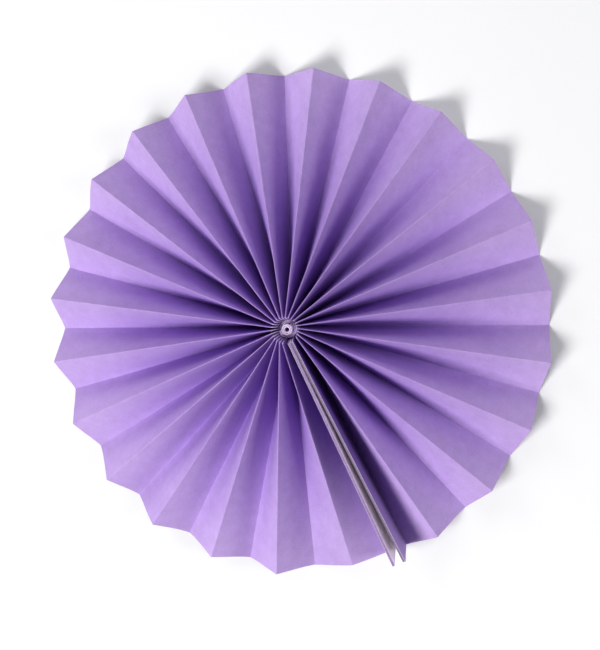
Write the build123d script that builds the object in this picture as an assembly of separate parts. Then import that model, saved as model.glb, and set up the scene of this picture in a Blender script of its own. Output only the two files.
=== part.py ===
"""A paper fan rosette: one long strip of paper, folded to and fro, fanned out into a full circle.

The strip is folded into narrow panels that lie side by side at the hub and open out towards the rim.
Its two end panels are backed with stiff card and stuck to each other at the hub, which makes the
upright seam. The seam gapes a little towards the rim.
The rosette lies on its back on the tips of its valley folds, with its ridges up. Its axis is Z.
"""

import math
import os

from build123d import *

# The paper strip. Lengths are in millimetres and angles in degrees.
paper_length = 150.0  # along a fold, from the cut edge at the hub to the cut edge at the rim
pleat_width = 27.0  # from one fold to the next
paper_thickness = 0.22
fold_width = 0.3  # a pressed fold is blunt: this is the width of its flat
fold_gap = 0.08  # air between neighbouring folds where they are packed at the hub
panel_bends = 5  # a panel twists from upright at the hub to sloping at the rim, in this many slight bends
cone_fall = 10.0  # slope of the valley folds from the hub down to the rim

# How far the fan opens. A pleat that opened by a share of 1 would lie flat at the rim.
opening_share = 0.75
wide_side_slack = 0.14  # share of the slack that the pleats on the wider side take up
wide_side_bearing = -33.0
first_pleat_slack = 0.08  # share of the slack that the pleat next after the seam takes up
last_pleat_slack = 0.68  # the same for the pleat next before it

# The seam.
seam_bearing = -66.5
seam_gape = 2.0  # the seam is closed at the hub, and its two halves stand this far apart in bearing
card_thickness = 1.2
card_setback = 0.5  # from the paper's cut edges to the card's ends
card_foot_gap = 0.6  # from the fold at the foot of the seam up to the card
tape_thickness = 0.1
tape_setback = 2.0  # from the card's edges to the tape's edges, all round

# The sleeve of wound cord in the hub, whose end shows as a ring.
tie_bore_radius = 1.3
tie_height = 12.0
tie_seat = 0.2  # how far up the funnel of the hub the sleeve stands, as a share of its height
tie_clearance = 0.3
tie_edge_bevel = 1.2
tie_bevel_limit = 0.4  # the most that a bevel may take of the sleeve's wall or height

# How closely points are worked out.
rim_steps = 30  # rounds that settle the place of a ridge fold's rim end
flatness = 1e-6  # a corner this near the plane of the others makes a flat face

# What follows from the sizes above.
fall = math.radians(cone_fall)
half_paper = paper_thickness / 2
end_panel_offset = tape_thickness / 2 + card_thickness + half_paper
foot_fold_offset = end_panel_offset + fold_width / 2
open_slack = 1 / opening_share - 1

rim_estimate = paper_length * math.cos(fall)
ridge_count = math.ceil(2 * math.pi * rim_estimate / (2 * pleat_width * opening_share))

packed_pitch = fold_width + paper_thickness + fold_gap
throat_radius = (ridge_count * packed_pitch + 2 * foot_fold_offset) / (2 * math.pi)
throat_height = paper_length * math.sin(fall)
mouth_radius = throat_radius + pleat_width * math.sin(fall)
mouth_height = throat_height + pleat_width * math.cos(fall)
valley_rim_radius = throat_radius + paper_length * math.cos(fall)

up = Vector(0, 0, 1)


def at_bearing(radius, bearing, height):
    """The point at a radius from the axis, a bearing in degrees and a height."""
    turn = math.radians(bearing)
    return Vector(radius * math.cos(turn), radius * math.sin(turn), height)


def seam_ways(side):
    """Outwards and sideways along one half of the seam. The half with the higher bearing stands open."""
    bearing = seam_bearing + (seam_gape if side > 0 else 0)
    return Vector(1, 0, 0).rotate(Axis.Z, bearing), Vector(0, 1, 0).rotate(Axis.Z, bearing)


def at_seam(radius, side, height):
    """The point at a radius along the seam, a distance to its side and a height."""
    outwards, sideways = seam_ways(side)
    return outwards * radius + sideways * side + up * height


def opening_weight(place):
    """How wide a pleat opens at the rim, against the average. Place counts the pleats from the seam."""
    bearing = seam_bearing + 360 * (place + 0.5) / ridge_count
    weight = 1 + wide_side_slack * open_slack * math.cos(math.radians(bearing - wide_side_bearing))
    if place == 0:
        weight += first_pleat_slack * open_slack
    if place == ridge_count - 1:
        weight += last_pleat_slack * open_slack
    return weight


def valley_bearings(radius, weights):
    """Bearings of the valley folds at a radius, from one foot of the seam round to the other."""
    foot_turn = math.degrees(math.atan2(foot_fold_offset, radius))
    span = 360 - seam_gape - 2 * foot_turn
    bearings = [seam_bearing + seam_gape + foot_turn]
    for weight in weights:
        bearings.append(bearings[-1] + span * weight / sum(weights))
    return bearings


def ridge_rim(half_turn):
    """Radius and height of a ridge fold's rim end, between valley folds that far to either side."""
    radius = valley_rim_radius
    for _ in range(rim_steps):
        chord_squared = (
            radius**2
            + valley_rim_radius**2
            - 2 * radius * valley_rim_radius * math.cos(math.radians(half_turn))
        )
        height = math.sqrt(pleat_width**2 - chord_squared)
        radius = mouth_radius + math.sqrt(paper_length**2 - (mouth_height - height) ** 2)
    return radius, height


def blunt_fold(radius, bearing, height):
    """The two edges of a fold's narrow flat at one of its ends."""
    middle = at_bearing(radius, bearing, height)
    side = at_bearing(fold_width / 2, bearing + 90, 0)
    return [middle - side, middle + side]


def fold_lines():
    """Hub and rim ends of every edge along the strip's middle layer, in order along the strip."""
    hub_valleys = valley_bearings(throat_radius, [1] * ridge_count)
    rim_valleys = valley_bearings(valley_rim_radius, [opening_weight(i) for i in range(ridge_count)])
    rim_rise = pleat_width * math.sin(fall)
    top_of_rim = pleat_width * math.cos(fall)

    hub = [at_seam(mouth_radius, end_panel_offset, mouth_height)]
    rim = [at_seam(valley_rim_radius + rim_rise, end_panel_offset, top_of_rim)]
    for side in (end_panel_offset, end_panel_offset + fold_width):
        hub.append(at_seam(throat_radius, side, throat_height))
        rim.append(at_seam(valley_rim_radius, side, 0))

    for i in range(ridge_count):
        hub_middle = (hub_valleys[i] + hub_valleys[i + 1]) / 2
        rim_middle = (rim_valleys[i] + rim_valleys[i + 1]) / 2
        radius, height = ridge_rim((rim_valleys[i + 1] - rim_valleys[i]) / 2)
        hub += blunt_fold(mouth_radius, hub_middle, mouth_height)
        rim += blunt_fold(radius, rim_middle, height)
        if i < ridge_count - 1:
            hub += blunt_fold(throat_radius, hub_valleys[i + 1], throat_height)
            rim += blunt_fold(valley_rim_radius, rim_valleys[i + 1], 0)

    for side in (-end_panel_offset - fold_width, -end_panel_offset):
        hub.append(at_seam(throat_radius, side, throat_height))
        rim.append(at_seam(valley_rim_radius, side, 0))
    hub.append(at_seam(mouth_radius, -end_panel_offset, mouth_height))
    rim.append(at_seam(valley_rim_radius + rim_rise, -end_panel_offset, top_of_rim))
    return hub, rim


def layer_shift(ends, along, i):
    """From the middle layer to the paper's front at one edge, so that both its neighbours stay parallel."""
    normals = []
    if i > 0:
        normals.append(along[i].cross(ends[i] - ends[i - 1]).normalized())
    if i < len(ends) - 1:
        normals.append(along[i].cross(ends[i + 1] - ends[i]).normalized())
    if len(normals) == 1:
        return normals[0] * half_paper
    return (normals[0] + normals[1]) * (half_paper / (1 + normals[0].dot(normals[1])))


def paper_layers():
    """Front and back points of the strip, row by row from the hub to the rim, with the lowest at height 0."""
    hub, rim = fold_lines()
    along = [end - start for start, end in zip(hub, rim)]
    front = []
    back = []
    for row in range(panel_bends + 1):
        points = [start + way * (row / panel_bends) for start, way in zip(hub, along)]
        shifts = [layer_shift(points, along, i) for i in range(len(points))]
        front.append([point + shift for point, shift in zip(points, shifts)])
        back.append([point - shift for point, shift in zip(points, shifts)])
    lift = -min(point.Z for point in front[-1] + back[-1])
    front = [[point + up * lift for point in points] for points in front]
    back = [[point + up * lift for point in points] for points in back]
    return front, back, lift


def in_one_plane(a, b, c, d):
    """Whether four corners lie in one plane."""
    return abs((b - a).cross(d - a).normalized().dot(c - a)) < flatness


def strip_face(a, b, c, d):
    """The smooth narrow face whose corners run a, b, c, d."""
    if in_one_plane(a, b, c, d):
        return Face(Wire.make_polygon([a, b, c, d]))
    return Face.make_surface_from_curves(Edge.make_line(a, b), Edge.make_line(d, c))


def panel_faces(ridge_near, valley_near, valley_far, ridge_far):
    """One stretch of a panel. Its twist is taken up by a slight bend from its ridge side to its valley side."""
    if in_one_plane(ridge_near, valley_near, valley_far, ridge_far):
        return [Face(Wire.make_polygon([ridge_near, valley_near, valley_far, ridge_far]))]
    return [
        Face(Wire.make_polygon([ridge_near, valley_near, valley_far])),
        Face(Wire.make_polygon([ridge_near, valley_far, ridge_far])),
    ]


def make_pleated_paper(front, back):
    """The whole folded strip as one closed sheet of even thickness."""
    last = len(front[0]) - 1
    faces = []
    for layer in (front, back):
        for near, far in zip(layer, layer[1:]):
            for i in range(last):
                j = i + 1
                is_fold = i % 2 == 1
                climbs = i % 4 == 2
                if is_fold:
                    faces.append(strip_face(near[i], near[j], far[j], far[i]))
                elif climbs:
                    faces += panel_faces(near[j], near[i], far[i], far[j])
                else:
                    faces += panel_faces(near[i], near[j], far[j], far[i])
    for row in (0, -1):
        for i in range(last):
            faces.append(strip_face(front[row][i], front[row][i + 1], back[row][i + 1], back[row][i]))
    for i in (0, last):
        for row in range(panel_bends):
            faces.append(strip_face(front[row][i], front[row + 1][i], back[row + 1][i], back[row][i]))
    return Solid(Shell(faces))


def seam_plate(near_side, far_side, ends_in, foot_in, top_in, lift):
    """A flat plate in the seam, between two distances to its side, set in from the paper's edges."""
    outwards, sideways = seam_ways(far_side)
    slope_out = outwards * math.cos(fall) - up * math.sin(fall)
    slope_up = outwards * math.sin(fall) + up * math.cos(fall)
    foot = outwards * throat_radius + sideways * near_side + up * (throat_height + lift)
    low_hub = foot + slope_out * ends_in + slope_up * foot_in
    high_hub = foot + slope_out * ends_in + slope_up * (pleat_width - top_in)
    reach = slope_out * (paper_length - 2 * ends_in)
    outline = Face(Wire.make_polygon([low_hub, low_hub + reach, high_hub + reach, high_hub]))
    return Solid.extrude(outline, sideways * (far_side - near_side))


def make_end_card(side, lift):
    """The stiff card behind one end panel. Side is 1 or -1."""
    near = side * tape_thickness / 2
    far = side * (tape_thickness / 2 + card_thickness)
    return seam_plate(near, far, card_setback, card_foot_gap, 0, lift)


def make_closing_tape(lift):
    """The double-sided tape on the card that stands straight. It meets the other card at the hub."""
    half = tape_thickness / 2
    ends_in = card_setback + tape_setback
    return seam_plate(half, -half, ends_in, card_foot_gap + tape_setback, tape_setback, lift)


def make_centre_tie(lift):
    """The sleeve of wound cord that stands in the hub, inside the cut edges of the paper."""
    bottom = throat_height + lift + tie_seat * (mouth_height - throat_height)
    outer_radius = throat_radius + tie_seat * (mouth_radius - throat_radius) - tie_clearance
    wall = outer_radius - tie_bore_radius
    sleeve = Cylinder(outer_radius, tie_height, align=(Align.CENTER, Align.CENTER, Align.MIN))
    sleeve -= Cylinder(tie_bore_radius, tie_height, align=(Align.CENTER, Align.CENTER, Align.MIN))
    bevel = min(tie_edge_bevel, tie_bevel_limit * wall, tie_bevel_limit * tie_height)
    sleeve = chamfer(sleeve.edges().filter_by(GeomType.CIRCLE), bevel)
    return Pos(0, 0, bottom) * sleeve


def main():
    os.makedirs("parts", exist_ok=True)
    front, back, lift = paper_layers()
    nodes = {
        "pleated_paper": make_pleated_paper(front, back),
        "end_card_left": make_end_card(-1, lift),
        "end_card_right": make_end_card(1, lift),
        "closing_tape": make_closing_tape(lift),
        "centre_tie": make_centre_tie(lift),
    }
    for name, solid in nodes.items():
        export_step(solid, f"parts/{name}.step")
        box = solid.bounding_box()
        print(name, "volume", round(solid.volume, 1), "from", box.min, "to", box.max)
    print("ridge folds", ridge_count)
    print("throat radius", round(throat_radius, 3), "mouth radius", round(mouth_radius, 3))


main()
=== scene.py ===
import math
import random

import bpy
from mathutils import Matrix, Vector


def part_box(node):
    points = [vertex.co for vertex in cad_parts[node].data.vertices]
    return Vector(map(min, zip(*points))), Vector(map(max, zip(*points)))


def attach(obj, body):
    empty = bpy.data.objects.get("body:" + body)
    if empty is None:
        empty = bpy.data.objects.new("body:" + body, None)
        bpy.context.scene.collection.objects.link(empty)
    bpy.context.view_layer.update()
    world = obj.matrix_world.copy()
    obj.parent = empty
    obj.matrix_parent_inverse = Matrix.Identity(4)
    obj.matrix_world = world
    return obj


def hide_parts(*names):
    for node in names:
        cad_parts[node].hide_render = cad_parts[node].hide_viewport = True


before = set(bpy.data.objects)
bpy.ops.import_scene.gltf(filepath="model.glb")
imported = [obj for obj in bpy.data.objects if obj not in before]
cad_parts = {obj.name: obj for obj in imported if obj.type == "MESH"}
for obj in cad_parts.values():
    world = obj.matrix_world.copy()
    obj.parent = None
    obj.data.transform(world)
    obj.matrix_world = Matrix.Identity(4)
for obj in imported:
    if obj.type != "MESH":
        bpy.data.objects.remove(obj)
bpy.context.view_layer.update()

bpy.ops.object.select_all(action="DESELECT")

# A paper fan rosette: one long strip of lavender paper, folded to and fro and fanned out into a full
# circle, with a card-backed seam and a sleeve of wound cord in its hub. It lies on the tips of its
# valley folds. Lengths are in metres, bearings in degrees.

# The paper strip and its folds.
PAPER_LENGTH = 0.150
PLEAT_WIDTH = 0.027
PAPER_THICKNESS = 0.00022
FOLD_WIDTH = 0.0003
FOLD_GAP = 0.00008  # air between neighbouring folds where they are packed at the hub
FALL = math.radians(10.0)  # slope of the valley folds from the hub down to the rim

# How far the fan opens. A pleat that opened by a share of 1 would lie flat at the rim.
OPENING_SHARE = 0.75
OPEN_SLACK = 1 / OPENING_SHARE - 1
WIDE_SIDE_SLACK = 0.14  # share of the slack that the pleats on the wider side take up
WIDE_SIDE_BEARING = -33.0
FIRST_PLEAT_SLACK = 0.08  # the same for the pleat next after the seam
LAST_PLEAT_SLACK = 0.68  # and for the pleat next before it

# The seam.
SEAM_BEARING = -66.5
SEAM_GAPE = 2.0
CARD_THICKNESS = 0.0012
TAPE_THICKNESS = 0.0001
END_PANEL_OFFSET = TAPE_THICKNESS / 2 + CARD_THICKNESS + PAPER_THICKNESS / 2
FOOT_FOLD_OFFSET = END_PANEL_OFFSET + FOLD_WIDTH / 2

# What follows from these.
RIM_ESTIMATE = PAPER_LENGTH * math.cos(FALL)
RIDGES = math.ceil(2 * math.pi * RIM_ESTIMATE / (2 * PLEAT_WIDTH * OPENING_SHARE))
PITCH = FOLD_WIDTH + PAPER_THICKNESS + FOLD_GAP
THROAT_RADIUS = (RIDGES * PITCH + 2 * FOOT_FOLD_OFFSET) / (2 * math.pi)
THROAT_HEIGHT = PAPER_LENGTH * math.sin(FALL)
MOUTH_RADIUS = THROAT_RADIUS + PLEAT_WIDTH * math.sin(FALL)
MOUTH_HEIGHT = THROAT_HEIGHT + PLEAT_WIDTH * math.cos(FALL)
VALLEY_RIM_RADIUS = THROAT_RADIUS + PAPER_LENGTH * math.cos(FALL)
FOLD_PITCH = PLEAT_WIDTH + FOLD_WIDTH  # from one fold to the next along the flat strip

# How the folded sheet is divided: shares of a panel's width, steps round a fold, rows along it.
PANEL_SHARES = [0.0, 0.012, 0.08, 0.2, 0.35, 0.5, 0.65, 0.8, 0.92, 0.988]
FOLD_STEPS = 4
ROWS = 40
RIM_ROUNDS = 30  # rounds that settle the place of a ridge fold's rim end
NEARLY_STRAIGHT = 0.05  # a fold that turns by less, in radians, is drawn straight
GRID_DIGITS = 5  # digits that tell the columns and rows of the flat grid apart
SHARPEST_SMOOTH = math.radians(65)  # edges that turn by more look sharp

# How real paper strays from flat panels. Each panel sags beside its valley fold and bellies between
# its folds, more towards the rim, and the rim ends of the folds stray sideways.
TROUGH_DEPTH = 0.0004
TROUGH_SCALE = 12.2  # brings the deepest place of the trough's curve to 1
TROUGH_GROWTH = 1.4
BELLY_DEPTH = 0.00055
BELLY_GROWTH = 1.6
BELLY_LEAN = 0.8
BELLY_SWAY = 0.6
FEWEST_WAVES = 1.0
MOST_WAVES = 2.6
RIM_STRAY = 0.0005
ANY_PHASE = 6.28

UP = Vector((0, 0, 1))

shuffle = random.Random(23)


# ---- the folds

def at_bearing(radius, bearing, height):
    turn = math.radians(bearing)
    return Vector((radius * math.cos(turn), radius * math.sin(turn), height))


def at_seam(radius, side, height):
    """The point along one half of the seam. The half with the higher bearing stands a little open."""
    turn = math.radians(SEAM_BEARING + (SEAM_GAPE if side > 0 else 0))
    outwards = Vector((math.cos(turn), math.sin(turn), 0))
    sideways = Vector((-math.sin(turn), math.cos(turn), 0))
    return outwards * radius + sideways * side + UP * height


def opening_weight(place):
    """How wide a pleat opens at the rim, against the average."""
    bearing = SEAM_BEARING + 360 * (place + 0.5) / RIDGES
    weight = 1 + WIDE_SIDE_SLACK * OPEN_SLACK * math.cos(math.radians(bearing - WIDE_SIDE_BEARING))
    if place == 0:
        weight += FIRST_PLEAT_SLACK * OPEN_SLACK
    if place == RIDGES - 1:
        weight += LAST_PLEAT_SLACK * OPEN_SLACK
    return weight


def valley_bearings(radius, weights):
    foot_turn = math.degrees(math.atan2(FOOT_FOLD_OFFSET, radius))
    open_turn = 360 - SEAM_GAPE - 2 * foot_turn
    bearings = [SEAM_BEARING + SEAM_GAPE + foot_turn]
    for weight in weights:
        bearings.append(bearings[-1] + open_turn * weight / sum(weights))
    return bearings


def ridge_rim(half_turn):
    """Radius and height of a ridge fold's rim end, between valley folds that far to either side."""
    radius = VALLEY_RIM_RADIUS
    for _ in range(RIM_ROUNDS):
        chord_squared = (
            radius**2
            + VALLEY_RIM_RADIUS**2
            - 2 * radius * VALLEY_RIM_RADIUS * math.cos(math.radians(half_turn))
        )
        height = math.sqrt(PLEAT_WIDTH**2 - chord_squared)
        radius = MOUTH_RADIUS + math.sqrt(PAPER_LENGTH**2 - (MOUTH_HEIGHT - height) ** 2)
    return radius, height


def blunt_fold(radius, bearing, height):
    middle = at_bearing(radius, bearing, height)
    side = at_bearing(FOLD_WIDTH / 2, bearing + 90, 0)
    return [middle - side, middle + side]


def fold_lines():
    """Hub and rim ends of each edge along the strip, in order: panel, fold, panel, and so on."""
    hub_valleys = valley_bearings(THROAT_RADIUS, [1] * RIDGES)
    rim_valleys = valley_bearings(VALLEY_RIM_RADIUS, [opening_weight(i) for i in range(RIDGES)])
    stray = math.degrees(RIM_STRAY / VALLEY_RIM_RADIUS)
    for i in range(1, RIDGES):
        rim_valleys[i] += shuffle.uniform(-stray, stray)
    end_rim_radius = VALLEY_RIM_RADIUS + PLEAT_WIDTH * math.sin(FALL)
    end_rim_height = PLEAT_WIDTH * math.cos(FALL)
    hub = [at_seam(MOUTH_RADIUS, END_PANEL_OFFSET, MOUTH_HEIGHT)]
    rim = [at_seam(end_rim_radius, END_PANEL_OFFSET, end_rim_height)]
    for side in (END_PANEL_OFFSET, END_PANEL_OFFSET + FOLD_WIDTH):
        hub.append(at_seam(THROAT_RADIUS, side, THROAT_HEIGHT))
        rim.append(at_seam(VALLEY_RIM_RADIUS, side, 0))
    for i in range(RIDGES):
        hub_middle = (hub_valleys[i] + hub_valleys[i + 1]) / 2
        rim_middle = (rim_valleys[i] + rim_valleys[i + 1]) / 2 + shuffle.uniform(-stray, stray)
        radius, height = ridge_rim((rim_valleys[i + 1] - rim_valleys[i]) / 2)
        hub += blunt_fold(MOUTH_RADIUS, hub_middle, MOUTH_HEIGHT)
        rim += blunt_fold(radius, rim_middle, height)
        if i < RIDGES - 1:
            hub += blunt_fold(THROAT_RADIUS, hub_valleys[i + 1], THROAT_HEIGHT)
            rim += blunt_fold(VALLEY_RIM_RADIUS, rim_valleys[i + 1], 0)
    for side in (-END_PANEL_OFFSET - FOLD_WIDTH, -END_PANEL_OFFSET):
        hub.append(at_seam(THROAT_RADIUS, side, THROAT_HEIGHT))
        rim.append(at_seam(VALLEY_RIM_RADIUS, side, 0))
    hub.append(at_seam(MOUTH_RADIUS, -END_PANEL_OFFSET, MOUTH_HEIGHT))
    rim.append(at_seam(end_rim_radius, -END_PANEL_OFFSET, end_rim_height))
    return hub, rim


# ---- the folded sheet

def ease(x):
    x = min(1.0, max(0.0, x))
    return x * x * (3 - 2 * x)


def any_belly():
    """How far a panel leans to one side, where its sway begins, and how often it sways."""
    lean = shuffle.uniform(-BELLY_LEAN, BELLY_LEAN)
    phase = shuffle.uniform(0, ANY_PHASE)
    return lean, phase, shuffle.uniform(FEWEST_WAVES, MOST_WAVES)


def panel_row(a, b, along, climbs, v, belly, glued):
    """Points across one panel at a share v of its length, without the last."""
    across = b - a
    front = along.cross(across).normalized()
    points = []
    for s in PANEL_SHARES:
        rise = s if climbs else 1 - s
        bow = 0.0
        if not glued:
            bow = -TROUGH_DEPTH * TROUGH_SCALE * rise * (1 - rise) ** 4 * ease(v * TROUGH_GROWTH)
            lean, phase, waves = belly
            sway = BELLY_SWAY * math.sin(phase + waves * v * math.pi)
            bow += BELLY_DEPTH * (lean + sway) * math.sin(math.pi * s) * ease(v * BELLY_GROWTH)
        points.append(a + across * s + front * bow)
    return points


def fold_row(a, b, way_in, way_out):
    """Points round one rounded fold from a to b, without the last."""
    width = (b - a).length
    turn = way_in.angle(way_out)
    if turn < NEARLY_STRAIGHT:
        handle = width / 3
    else:
        handle = (4 / 3) * math.tan(turn / 4) * width / (2 * math.sin(turn / 2))
    first, second = a + way_in * handle, b - way_out * handle
    points = []
    for step in range(FOLD_STEPS):
        t = step / FOLD_STEPS
        u = 1 - t
        points.append(a * u**3 + first * (3 * u * u * t) + second * (3 * u * t * t) + b * t**3)
    return points


def flat_measures(panels):
    """How far along the flat strip each column of points lies."""
    measure = []
    for k in range(panels):
        start = k * FOLD_PITCH
        measure += [start + PLEAT_WIDTH * s for s in PANEL_SHARES]
        if k < panels - 1:
            measure += [start + PLEAT_WIDTH + FOLD_WIDTH * i / FOLD_STEPS for i in range(FOLD_STEPS)]
    measure.append((panels - 1) * FOLD_PITCH + PLEAT_WIDTH)
    return measure


def fold_paper():
    """Where each point of the flat strip goes, row by row, and how far along the strip it lies."""
    hub, rim = fold_lines()
    along = [end - start for start, end in zip(hub, rim)]
    panels = len(hub) // 2
    bellies = [any_belly() for _ in range(panels)]
    rows = []
    for row in range(ROWS + 1):
        v = row / ROWS
        edge = [start + way * v for start, way in zip(hub, along)]
        line = []
        for k in range(panels):
            a, b = edge[2 * k], edge[2 * k + 1]
            glued = k in (0, panels - 1)
            line += panel_row(a, b, along[2 * k], k % 2 == 1, v, bellies[k], glued)
            if k < panels - 1:
                after, c = edge[2 * k + 2], edge[2 * k + 3]
                line += fold_row(b, after, (b - a).normalized(), (c - after).normalized())
        line.append(edge[-1])
        rows.append(line)
    return rows, flat_measures(panels)


def make_pleated_paper():
    rows, measure = fold_paper()
    bpy.ops.mesh.primitive_grid_add(x_subdivisions=len(measure) - 1, y_subdivisions=ROWS, size=1)
    sheet = bpy.context.object
    sheet.name = "folded_paper"
    sheet.data.name = "folded_paper"
    across = sorted({round(v.co.x, GRID_DIGITS) for v in sheet.data.vertices})
    along = sorted({round(v.co.y, GRID_DIGITS) for v in sheet.data.vertices})
    column_of = {x: i for i, x in enumerate(across)}
    row_of = {y: i for i, y in enumerate(along)}
    place = []
    for v in sheet.data.vertices:
        place.append((column_of[round(v.co.x, GRID_DIGITS)], row_of[round(v.co.y, GRID_DIGITS)]))
    strip = sheet.data.uv_layers.active
    strip.name = "strip"
    for loop in sheet.data.loops:
        column, row = place[loop.vertex_index]
        strip.data[loop.index].uv = (measure[column] / measure[-1], row / ROWS)
    for v, (column, row) in zip(sheet.data.vertices, place):
        v.co = rows[row][column]
    sheet.data.update()
    wall = sheet.modifiers.new("thickness", "SOLIDIFY")
    wall.thickness = PAPER_THICKNESS
    wall.offset = 0
    wall.use_even_offset = True
    wall.material_offset_rim = 1
    sheet.data.materials.append(paper_finish())
    sheet.data.materials.append(cut_edge_finish())
    bpy.ops.object.modifier_apply(modifier="thickness")
    lowest = min(v.co.z for v in sheet.data.vertices)
    for v in sheet.data.vertices:
        v.co.z -= lowest
    bpy.ops.object.shade_smooth_by_angle(angle=SHARPEST_SMOOTH)
    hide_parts("pleated_paper")
    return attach(sheet, "root")


# ---- short ways to wire a finish

def blank_finish(name, roughness, gloss):
    finish = bpy.data.materials.new(name)
    finish.use_nodes = True
    nodes = finish.node_tree.nodes
    shader = nodes["Principled BSDF"]
    if roughness is not None:
        shader.inputs["Roughness"].default_value = roughness
    if gloss is not None:
        shader.inputs["Specular IOR Level"].default_value = gloss
    place = nodes.new("ShaderNodeTexCoord").outputs["Object"]
    return finish, nodes, finish.node_tree.links, shader, place


def noise(nodes, links, place, scale, detail=None, roughness=None):
    made = nodes.new("ShaderNodeTexNoise")
    made.inputs["Scale"].default_value = scale
    if detail is not None:
        made.inputs["Detail"].default_value = detail
    if roughness is not None:
        made.inputs["Roughness"].default_value = roughness
    links.new(place, made.inputs["Vector"])
    return made.outputs[0]


def number(nodes, links, operation, a, b):
    made = nodes.new("ShaderNodeMath")
    made.operation = operation
    for value, socket in ((a, made.inputs[0]), (b, made.inputs[1])):
        if isinstance(value, (int, float)):
            socket.default_value = value
        else:
            links.new(value, socket)
    return made.outputs[0]


def span(nodes, links, value, low, high, to_low=0.0, to_high=1.0, smooth=False):
    made = nodes.new("ShaderNodeMapRange")
    made.clamp = True
    made.interpolation_type = "SMOOTHSTEP" if smooth else "LINEAR"
    links.new(value, made.inputs["Value"])
    made.inputs["From Min"].default_value = low
    made.inputs["From Max"].default_value = high
    made.inputs["To Min"].default_value = to_low
    made.inputs["To Max"].default_value = to_high
    return made.outputs["Result"]


def blend_colour(nodes, links, share, a, b, kind="MIX"):
    made = nodes.new("ShaderNodeMix")
    made.data_type = "RGBA"
    made.blend_type = kind
    for value, socket in ((share, made.inputs[0]), (a, made.inputs[6]), (b, made.inputs[7])):
        if isinstance(value, (int, float, tuple)):
            socket.default_value = value
        else:
            links.new(value, socket)
    return made.outputs[2]


def emboss(nodes, links, shader, height, strength, distance):
    bump = nodes.new("ShaderNodeBump")
    bump.inputs["Strength"].default_value = strength
    bump.inputs["Distance"].default_value = distance
    links.new(height, bump.inputs["Height"])
    links.new(bump.outputs[0], shader.inputs["Normal"])


def from_screen(r, g, b):
    """A colour as it is read off a screen, from 0 to 255, as linear light."""
    out = []
    for c in (r, g, b):
        c = c / 255
        out.append(c / 12.92 if c <= 0.04045 else ((c + 0.055) / 1.055) ** 2.4)
    return (out[0], out[1], out[2], 1.0)


# ---- finishes

PAPER_COLOUR = from_screen(201, 172, 231)
PAPER_CLOUDED = from_screen(194, 164, 226)
# Painted shade for the valleys of the pleats near the hub.
PAINTED_VALLEY_SHADE = from_screen(108, 38, 176)
# Wear and painted highlight on the ridges, and painted light at the hub end.
PAPER_WORN_AND_LIT = from_screen(204, 178, 232)
# Painted shade for the end panels beside the seam.
PAINTED_SEAM_SHADE = from_screen(68, 28, 120)
CUT_EDGE = from_screen(222, 198, 240), from_screen(234, 216, 246)
CARD_FACE = from_screen(240, 222, 250)
LEFT_CARD_EDGE = from_screen(172, 148, 192), from_screen(144, 120, 164)
# The right card's edge is painted darker than the left card's, as painted shade.
RIGHT_CARD_EDGE_IN_PAINTED_SHADE = from_screen(150, 132, 158), from_screen(122, 106, 132)
TAPE = from_screen(232, 226, 226), from_screen(244, 240, 240)
CORD = from_screen(250, 236, 255), from_screen(236, 216, 253)
FLOOR = (0.93, 0.93, 0.93, 1), (0.95, 0.95, 0.95, 1)

STRIP_LENGTH = 2 * (RIDGES + 1) * FOLD_PITCH - FOLD_WIDTH
MOST_NOISE = 0.3, 0.7  # the levels between which nearly all of a noise lies

# How the paper's colour changes. Places along a fold are shares of its length from the hub, and
# strengths are shares of the second colour.
PAPER_ROUGHNESS = 0.72, 0.84
CLOUD_SPAN = 0.35, 0.68
SPECK_LEVELS = 0.945, 1.045
PATCH_LEVELS = 0.94, 1.06
# Painted shade in the valleys, darker down the sides of the pleats and towards the hub.
VALLEY_SHADE_FULL_DOWN = 0.8 * PLEAT_WIDTH
VALLEY_SHADE_AT_RIDGE = 0.5
VALLEY_SHADE_UNTIL = 0.92
VALLEY_SHADE_CURVE = 1.3
# Pale ridges near the hub are part wear and part painted highlight; the pale hub end is painted light.
PALE_RIDGE_WIDTH = 0.0001, 0.0008
PALE_RIDGE_REACH = 0.2, 0.6
PALE_RIDGE_STRENGTH = 0.12
HUB_END = 0.014
HUB_END_STRENGTH = 0.9
# Painted shade on the end panels beside the seam, weaker towards the rim.
SEAM_SHADE_EDGE = 0.98
SEAM_SHADE_FADE = 0.5, 1.0
SEAM_SHADE_STRENGTHS = 0.75, 0.4

# A card's layers are long along the seam and fine across it.
CARD_LAYERS = (90, 2600, 400)
LAYER_SPAN = 0.35, 0.65
CARD_SPECKLE = 0.12
FACES_UP = 0.4, 0.8


def from_ridge(nodes, links, along_strip):
    """How far a point of the strip lies from the nearest ridge fold, in metres."""
    pleats = number(nodes, links, "MULTIPLY", along_strip, STRIP_LENGTH / (2 * FOLD_PITCH))
    off = number(nodes, links, "ADD", pleats, FOLD_WIDTH / 4 / FOLD_PITCH)
    off = number(nodes, links, "PINGPONG", off, 0.5)
    return number(nodes, links, "MULTIPLY", off, 2 * FOLD_PITCH)


def mottled(nodes, links, colour, fibre, mottle):
    """A colour with light and dark specks and patches."""
    speck = span(nodes, links, fibre, *MOST_NOISE, *SPECK_LEVELS)
    patch = span(nodes, links, mottle, *MOST_NOISE, *PATCH_LEVELS)
    level = number(nodes, links, "MULTIPLY", speck, patch)
    grey = nodes.new("ShaderNodeCombineColor")
    for i in range(3):
        links.new(level, grey.inputs[i])
    return blend_colour(nodes, links, 1.0, colour, grey.outputs[0], "MULTIPLY")


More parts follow.
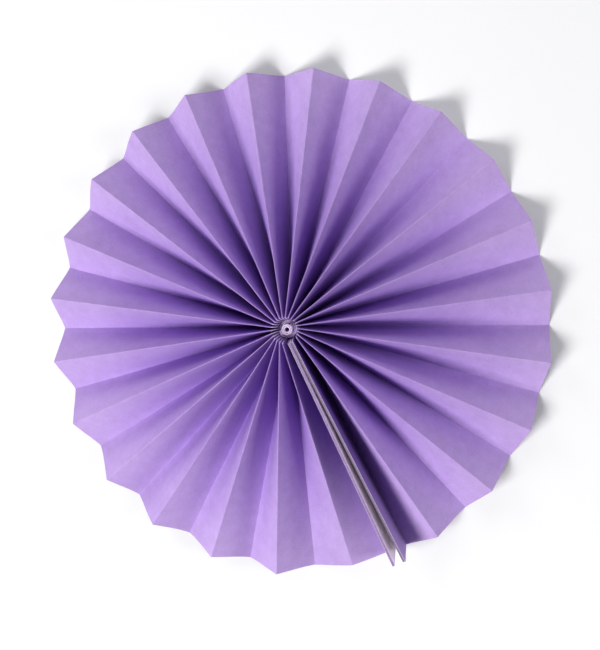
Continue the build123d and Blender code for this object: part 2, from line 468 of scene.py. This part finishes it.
def with_painted_valley_shade(nodes, links, colour, away, outwards):
    """Painted shade: the colour darkens down the sides of the pleats and towards the hub, where the folds
    shade one another.
    """
    down = span(nodes, links, away, 0.0, VALLEY_SHADE_FULL_DOWN, VALLEY_SHADE_AT_RIDGE, 1.0)
    inwards = span(nodes, links, outwards, 0.0, VALLEY_SHADE_UNTIL, 1.0, 0.0)
    inwards = number(nodes, links, "POWER", inwards, VALLEY_SHADE_CURVE)
    deep = number(nodes, links, "MULTIPLY", down, inwards)
    return blend_colour(nodes, links, deep, colour, PAINTED_VALLEY_SHADE)


def paled_by_wear_and_light(nodes, links, colour, away, outwards):
    """Ridge folds are paler towards the hub, partly from wear and partly as a painted highlight where they
    catch the light; the paper's hub end is painted pale, as painted light in the shaded funnel.
    """
    ridge = span(nodes, links, away, *PALE_RIDGE_WIDTH, 1.0, 0.0, smooth=True)
    nearness = span(nodes, links, outwards, *PALE_RIDGE_REACH, PALE_RIDGE_STRENGTH, 0.0, smooth=True)
    ridge = number(nodes, links, "MULTIPLY", ridge, nearness)
    hub_end = span(nodes, links, outwards, 0.0, HUB_END, HUB_END_STRENGTH, 0.0, smooth=True)
    wear_and_light = number(nodes, links, "MAXIMUM", ridge, hub_end)
    return blend_colour(nodes, links, wear_and_light, colour, PAPER_WORN_AND_LIT)


def end_panels_in_painted_shade(nodes, links, colour, along_strip, outwards):
    """Painted shade on the two end panels, which are glued to the cards, where the narrow channels beside
    the seam shade them; it fades towards the rim.
    """
    panel = PLEAT_WIDTH / STRIP_LENGTH
    from_end = number(nodes, links, "PINGPONG", along_strip, 0.5)
    glued = span(nodes, links, from_end, SEAM_SHADE_EDGE * panel, panel, 1.0, 0.0)
    depth = span(nodes, links, outwards, *SEAM_SHADE_FADE, *SEAM_SHADE_STRENGTHS)
    glued = number(nodes, links, "MULTIPLY", glued, depth)
    return blend_colour(nodes, links, glued, colour, PAINTED_SEAM_SHADE)


def paper_finish():
    finish, nodes, links, shader, place = blank_finish("lavender_paper", None, gloss=0.3)
    strip = nodes.new("ShaderNodeUVMap")
    strip.uv_map = "strip"
    part = nodes.new("ShaderNodeSeparateXYZ")
    links.new(strip.outputs["UV"], part.inputs["Vector"])
    along_strip, outwards = part.outputs["X"], part.outputs["Y"]

    cloud = noise(nodes, links, place, scale=26, detail=3)
    fibre = noise(nodes, links, place, scale=900, detail=4)
    mottle = noise(nodes, links, place, scale=170, detail=5, roughness=0.62)
    away = from_ridge(nodes, links, along_strip)

    share = span(nodes, links, cloud, *CLOUD_SPAN)
    colour = blend_colour(nodes, links, share, PAPER_COLOUR, PAPER_CLOUDED)
    colour = mottled(nodes, links, colour, fibre, mottle)
    colour = with_painted_valley_shade(nodes, links, colour, away, outwards)
    colour = paled_by_wear_and_light(nodes, links, colour, away, outwards)
    colour = end_panels_in_painted_shade(nodes, links, colour, along_strip, outwards)
    links.new(colour, shader.inputs["Base Color"])

    rough = span(nodes, links, cloud, *MOST_NOISE, *PAPER_ROUGHNESS)
    links.new(rough, shader.inputs["Roughness"])
    grain = number(nodes, links, "ADD", fibre, mottle)
    emboss(nodes, links, shader, grain, strength=0.6, distance=0.0001)
    return finish


def speckled_finish(name, colours, scale, roughness, gloss=None, detail=None):
    """A plain finish that varies between two near colours."""
    finish, nodes, links, shader, place = blank_finish(name, roughness, gloss)
    speckle = noise(nodes, links, place, scale, detail)
    share = span(nodes, links, speckle, *MOST_NOISE)
    links.new(blend_colour(nodes, links, share, *colours), shader.inputs["Base Color"])
    return finish, nodes, links, shader, speckle


def cut_edge_finish():
    return speckled_finish("paper_cut_edge", CUT_EDGE, scale=2600, roughness=0.9, gloss=0.2)[0]


def tape_finish():
    return speckled_finish("clear_tape", TAPE, scale=300, roughness=0.35)[0]


def cord_finish():
    finish, nodes, links, shader, fibre = speckled_finish(
        "pale_cord", CORD, scale=3200, roughness=0.9, gloss=0.25, detail=3
    )
    shader.inputs["Sheen Weight"].default_value = 0.3
    emboss(nodes, links, shader, fibre, strength=0.4, distance=0.00008)
    return finish


def card_finish(name, edge_colours):
    """Card shows its pressed layers on the cut edge that faces up, and is plain on its faces."""
    finish, nodes, links, shader, place = blank_finish(name, roughness=0.85, gloss=0.25)
    along_seam = nodes.new("ShaderNodeMapping")
    along_seam.vector_type = "POINT"
    along_seam.inputs["Rotation"].default_value = (0, 0, math.radians(-SEAM_BEARING))
    along_seam.inputs["Scale"].default_value = CARD_LAYERS
    links.new(place, along_seam.inputs["Vector"])
    layers = noise(nodes, links, along_seam.outputs[0], scale=1.0, detail=4)
    grain = noise(nodes, links, place, scale=1500)
    share = span(nodes, links, layers, *LAYER_SPAN)
    cut_edge = blend_colour(nodes, links, share, *edge_colours)
    speckle = span(nodes, links, grain, *MOST_NOISE, 0.0, CARD_SPECKLE)
    face = blend_colour(nodes, links, speckle, CARD_FACE, edge_colours[0])
    facing = nodes.new("ShaderNodeNewGeometry")
    upwards = nodes.new("ShaderNodeSeparateXYZ")
    links.new(facing.outputs["True Normal"], upwards.inputs["Vector"])
    on_top = span(nodes, links, upwards.outputs["Z"], *FACES_UP)
    colour = blend_colour(nodes, links, on_top, face, cut_edge)
    links.new(colour, shader.inputs["Base Color"])
    emboss(nodes, links, shader, layers, strength=0.5, distance=0.0001)
    return finish


def dress(node_name, finish):
    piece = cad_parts[node_name]
    piece.data.materials.clear()
    piece.data.materials.append(finish)


# ---- the sleeve of wound cord in the hub

CORD_WIDTH = 0.0010
STRANDS = 3
STRAND_SHARE = 0.27  # a strand's radius, as a share of the cord's width
LAY_SHARE = 0.23  # how far the middle of a strand lies from the middle of the cord, likewise
TWISTS_PER_TURN = 5  # in a turn of the radius below
TWIST_RADIUS = 0.0019
TURN_TILT = 0.02
STEPS_PER_WIDTH = 26  # steps round a turn whose radius is one width of the cord
FEWEST_STEPS = 24
SLEEVE_BORE = 0.0013
SLEEVE_RISE = 0.003  # how far the sleeve's end stands above its solid

# A few wider turns, some layers below the sleeve's end, fill the funnel of the hub as a collar.
COLLAR_DROP = 4
COLLAR_LAYERS = 2
COLLAR_TURNS = 2


def wind_turn(radius, height):
    """One turn of cord, as the middle lines of its twisted strands."""
    tilt = shuffle.uniform(-TURN_TILT, TURN_TILT)
    start = shuffle.uniform(0, ANY_PHASE)
    steps = max(FEWEST_STEPS, round(radius / CORD_WIDTH * STEPS_PER_WIDTH))
    twists = round(TWISTS_PER_TURN * radius / TWIST_RADIUS)
    lay = CORD_WIDTH * LAY_SHARE
    strands = []
    for strand in range(STRANDS):
        points = []
        for i in range(steps):
            turn = 2 * math.pi * i / steps
            twist = start + 2 * math.pi * (strand / STRANDS + twists * i / steps)
            r = radius + lay * math.cos(twist)
            z = height + lay * math.sin(twist) + tilt * radius * math.cos(turn + start)
            points.append((r * math.cos(turn), r * math.sin(turn), z, 1))
        strands.append(points)
    return strands


def make_wound_sleeve():
    low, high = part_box("centre_tie")
    height = high.z + SLEEVE_RISE - low.z
    wall = high.x - SLEEVE_BORE
    across = round(wall / CORD_WIDTH)
    layers = round(height / CORD_WIDTH)
    step_out = (wall - CORD_WIDTH) / (across - 1)
    step_up = (height - CORD_WIDTH) / (layers - 1)
    turns = [(layer, turn) for layer in range(layers) for turn in range(across)]
    collar_top = layers - COLLAR_DROP
    for layer in range(collar_top - COLLAR_LAYERS, collar_top):
        turns += [(layer, across + turn) for turn in range(COLLAR_TURNS)]
    curve = bpy.data.curves.new("wound_sleeve", "CURVE")
    curve.dimensions = "3D"
    curve.bevel_depth = CORD_WIDTH * STRAND_SHARE
    curve.bevel_resolution = 2
    curve.resolution_u = 1
    for layer, turn in turns:
        radius = SLEEVE_BORE + CORD_WIDTH / 2 + step_out * turn
        for points in wind_turn(radius, low.z + CORD_WIDTH / 2 + step_up * layer):
            spline = curve.splines.new("POLY")
            spline.points.add(len(points) - 1)
            spline.use_cyclic_u = True
            for point, place in zip(spline.points, points):
                point.co = place
    line = bpy.data.objects.new("wound_sleeve", curve)
    bpy.context.scene.collection.objects.link(line)
    bpy.ops.object.select_all(action="DESELECT")
    line.select_set(True)
    bpy.context.view_layer.objects.active = line
    bpy.ops.object.convert(target="MESH")
    sleeve = bpy.context.object
    sleeve.data.materials.append(cord_finish())
    bpy.ops.object.shade_smooth()
    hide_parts("centre_tie")
    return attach(sleeve, "root")


make_pleated_paper()
make_wound_sleeve()
dress("end_card_left", card_finish("left_card", LEFT_CARD_EDGE))
dress("end_card_right", card_finish("right_card", RIGHT_CARD_EDGE_IN_PAINTED_SHADE))
dress("closing_tape", tape_finish())


# ---- floor, light and camera

FLOOR_WIDTH = 2.6
FLOOR_GLOW = 0.1
FADE_START = 0.28  # from here the floor fades into the white behind it
FADE_END = 0.85
LAMP_DISTANCE = 1.5
LAMP_WIDTH = 0.7
LAMPS_AIM = Vector((0, 0, 0.02))
WHITE = (1, 1, 1)
COOL = (0.95, 0.96, 1.0)
SKY_STRENGTH = 0.03
CAMERA_PLACE = (0.1407, 0.0683, 0.8381)
CAMERA_AIM = (0.002, 0.0, 0.012)
CAMERA_LENS = 77.0
CAMERA_FILM = 36


def seen_directly(nodes, links):
    """1 for what the camera sees, straight or by gloss or through something clear, and 0 for the rest."""
    path = nodes.new("ShaderNodeLightPath").outputs
    seen = number(nodes, links, "MAXIMUM", path["Is Camera Ray"], path["Is Glossy Ray"])
    return number(nodes, links, "MAXIMUM", seen, path["Is Transmission Ray"])


def floor_finish():
    """A pale floor that keeps the shadow, and fades to plain white away from the rosette."""
    finish, nodes, links, shader, _ = speckled_finish(
        "white_floor", FLOOR, scale=3, roughness=0.9, gloss=0.1
    )
    place = nodes.new("ShaderNodeTexCoord").outputs["Object"]
    reach = nodes.new("ShaderNodeVectorMath")
    reach.operation = "LENGTH"
    links.new(place, reach.inputs[0])
    glow = span(nodes, links, reach.outputs["Value"], FADE_START, FADE_END, FLOOR_GLOW, 1.0, smooth=True)
    glow = number(nodes, links, "MULTIPLY", glow, seen_directly(nodes, links))
    shader.inputs["Emission Color"].default_value = (1, 1, 1, 1)
    links.new(glow, shader.inputs["Emission Strength"])
    return finish


def make_floor():
    bpy.ops.mesh.primitive_plane_add(size=FLOOR_WIDTH)
    floor = bpy.context.object
    floor.name = "floor"
    floor.data.materials.append(floor_finish())


def soft_lamp(name, bearing, elevation, watts, colour):
    """A square lamp at a bearing and an elevation in degrees, turned towards the rosette."""
    rise = math.radians(elevation)
    place = LAMPS_AIM + at_bearing(LAMP_DISTANCE * math.cos(rise), bearing, LAMP_DISTANCE * math.sin(rise))
    data = bpy.data.lights.new(name, "AREA")
    data.shape = "SQUARE"
    data.size = LAMP_WIDTH
    data.energy = watts
    data.color = colour
    lamp = bpy.data.objects.new(name, data)
    lamp.location = place
    lamp.rotation_mode = "QUATERNION"
    lamp.rotation_quaternion = (LAMPS_AIM - place).to_track_quat("-Z", "Y")
    lamp.visible_camera = False
    bpy.context.scene.collection.objects.link(lamp)


def make_sky():
    sky = bpy.data.worlds.new("studio")
    bpy.context.scene.world = sky
    sky.use_nodes = True
    nodes, links = sky.node_tree.nodes, sky.node_tree.links
    back = nodes["Background"]
    back.inputs["Color"].default_value = (1, 1, 1, 1)
    strength = span(nodes, links, seen_directly(nodes, links), 0, 1, SKY_STRENGTH, 1.0)
    links.new(strength, back.inputs["Strength"])


def make_camera():
    data = bpy.data.cameras.new("camera")
    data.lens = CAMERA_LENS
    data.sensor_width = CAMERA_FILM
    camera = bpy.data.objects.new("camera", data)
    bpy.context.scene.collection.objects.link(camera)
    camera.location = CAMERA_PLACE
    back = (Vector(CAMERA_PLACE) - Vector(CAMERA_AIM)).normalized()
    right = Vector((0, 1, 0)).cross(back).normalized()
    top = back.cross(right)
    camera.rotation_mode = "QUATERNION"
    camera.rotation_quaternion = Matrix((right, top, back)).transposed().to_quaternion()
    bpy.context.scene.camera = camera


make_floor()
make_sky()
soft_lamp("key", bearing=225, elevation=50, watts=21.2, colour=WHITE)
soft_lamp("right", bearing=0, elevation=25, watts=7.8, colour=COOL)
soft_lamp("far", bearing=90, elevation=25, watts=4.7, colour=COOL)
soft_lamp("left", bearing=135, elevation=25, watts=4.2, colour=COOL)
make_camera()

scene = bpy.context.scene
scene.view_settings.view_transform = "Standard"
